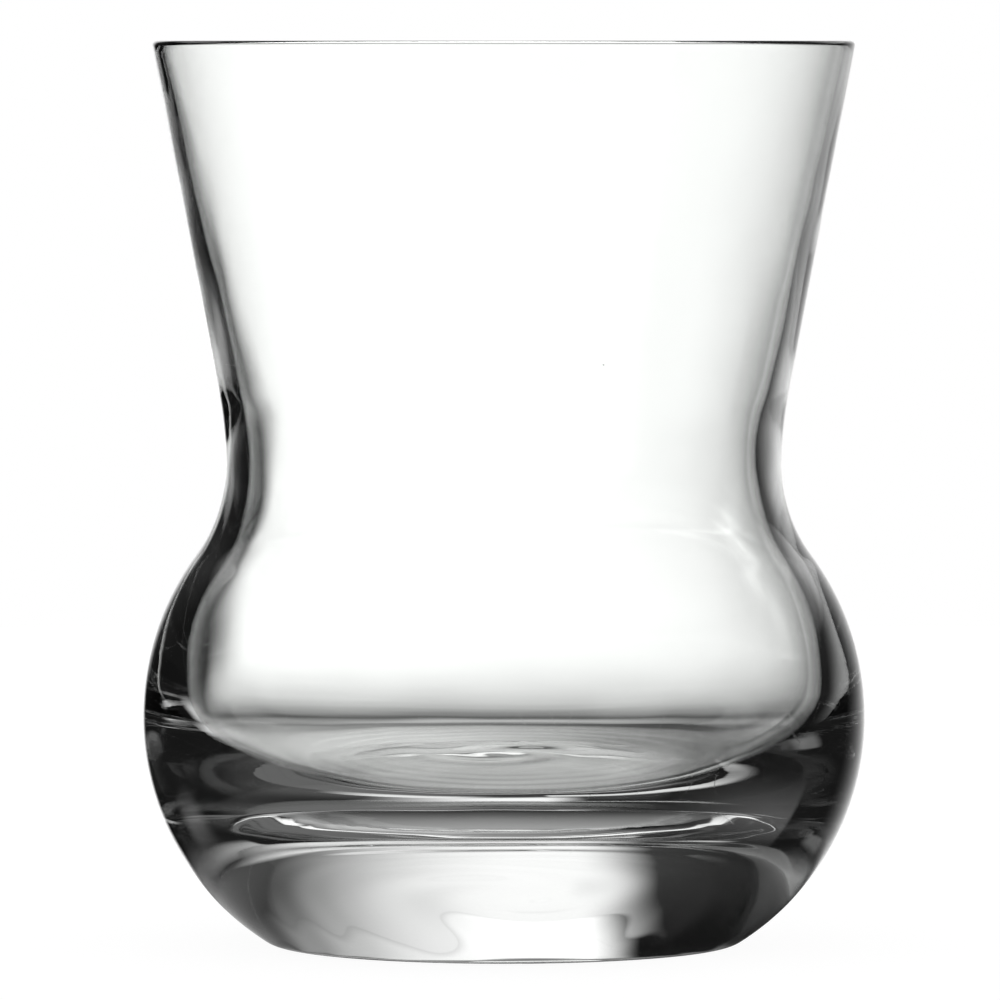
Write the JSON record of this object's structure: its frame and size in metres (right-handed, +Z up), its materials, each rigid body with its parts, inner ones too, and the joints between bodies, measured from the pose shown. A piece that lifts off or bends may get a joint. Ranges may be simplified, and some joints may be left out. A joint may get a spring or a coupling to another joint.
{
  "type": "whisky glass",
  "caption": "Clear whisky glass with a heavy solid base, a round belly, a narrow waist and a flared mouth, in one piece.",
  "frame": {"origin": "centre of the foot, on the surface that the glass stands on", "axes": "+Z up along the glass's axis of revolution, from the foot to the mouth; X and Y are any two level directions"},
  "size_m": [0.08, 0.08, 0.1],
  "materials": {
    "clear_glass": "fire-polished, smooth and glossy"
  },
  "bodies": {
    "root": {"glass_body": "clear_glass"}
  },
  "joints": []
}
